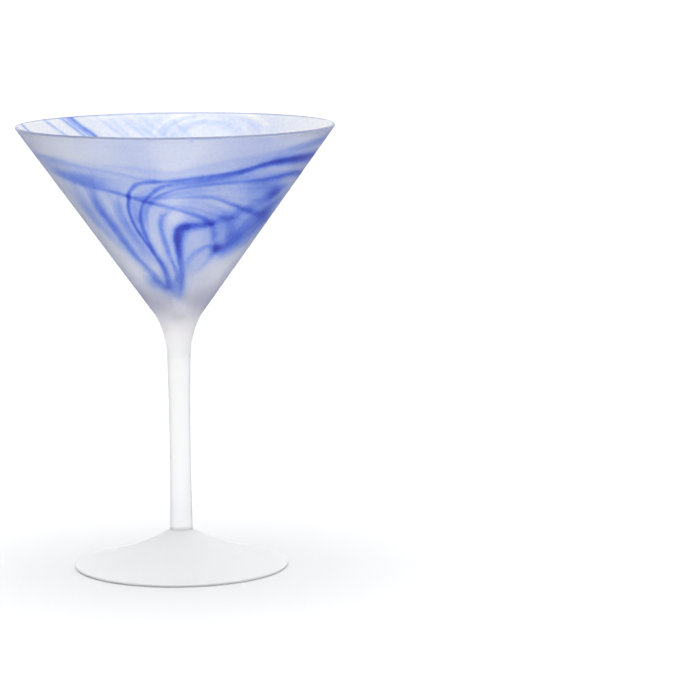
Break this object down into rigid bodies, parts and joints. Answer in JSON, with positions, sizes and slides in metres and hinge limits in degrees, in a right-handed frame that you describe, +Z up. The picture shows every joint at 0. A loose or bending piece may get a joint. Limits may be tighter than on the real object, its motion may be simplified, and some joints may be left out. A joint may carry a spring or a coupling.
{
  "type": "martini glass",
  "caption": "Wide conical stemmed glass for cocktails, frosted outside, with blue swirls cased in the bowl, a slim stem and a round flat foot.",
  "frame": {"origin": "centre of the foot's resting plane", "axes": "+Z up along the stem's axis, towards the rim; -Y is the side that shows the main swirl"},
  "size_m": [0.1156, 0.1156, 0.1624],
  "materials": {
    "lining_glass": "smooth clear glass",
    "swirl_glass": "marbled cobalt blue and pale milky blue glass",
    "frosted_glass": "satin, acid-frosted"
  },
  "bodies": {
    "root": {"clear_lining": "lining_glass", "swirl_layer": "swirl_glass", "frosted_casing": "frosted_glass", "stem": "frosted_glass", "foot": "frosted_glass"}
  },
  "joints": []
}
